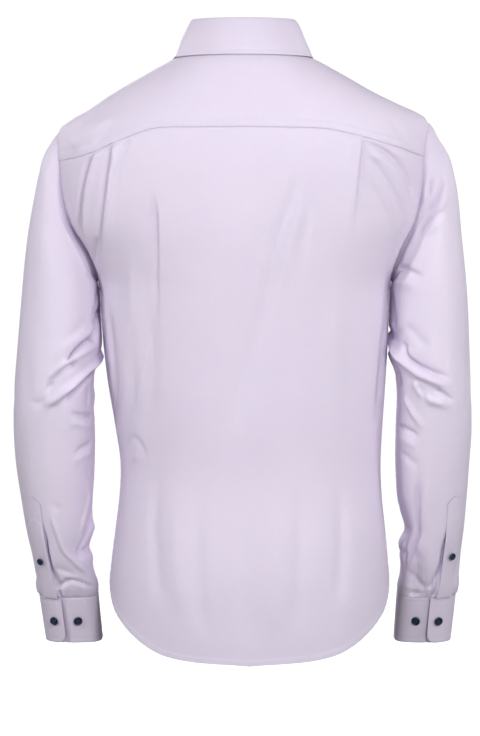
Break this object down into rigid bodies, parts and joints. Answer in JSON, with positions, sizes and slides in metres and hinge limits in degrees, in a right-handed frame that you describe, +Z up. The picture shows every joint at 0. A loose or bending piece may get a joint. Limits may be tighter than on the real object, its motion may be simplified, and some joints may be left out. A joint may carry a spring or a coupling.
{
  "type": "long sleeve dress shirt",
  "caption": "Long sleeve dress shirt in plain lilac cloth with dark navy buttons, collar folded down, standing in its worn form with both arms down",
  "frame": {"origin": "middle of the neck opening, at the level of the neckline seam on the shoulders, where the shirt hangs from the wearer's neck and shoulders", "axes": "+Z up the body, the front of the shirt faces -Y and its back +Y, +X to the wearer's left"},
  "size_m": [0.5916, 0.254, 0.8142],
  "materials": {
    "lilac_cloth": "plain fine cotton weave, matt",
    "lilac_interlined": "the same cloth over an interlining, pressed",
    "navy_button": "polished"
  },
  "bodies": {
    "root": {"back": "lilac_cloth", "yoke": "lilac_cloth", "front_left": "lilac_cloth", "front_right": "lilac_cloth", "front_band": "lilac_interlined", "collar_stand": "lilac_interlined", "collar_leaf": "lilac_interlined", "sleeve_left": "lilac_cloth", "sleeve_right": "lilac_cloth", "cuff_left": "lilac_interlined", "cuff_right": "lilac_interlined", "placket_left": "lilac_cloth", "placket_right": "lilac_cloth", "button_1": "navy_button", "button_2": "navy_button", "button_3": "navy_button", "button_4": "navy_button", "button_5": "navy_button", "button_6": "navy_button", "button_7": "navy_button", "button_8": "navy_button", "cuff_button_left_flap": "navy_button", "cuff_button_left_spare": "navy_button", "cuff_button_right_flap": "navy_button", "cuff_button_right_spare": "navy_button", "placket_button_left": "navy_button", "placket_button_right": "navy_button"}
  },
  "joints": []
}
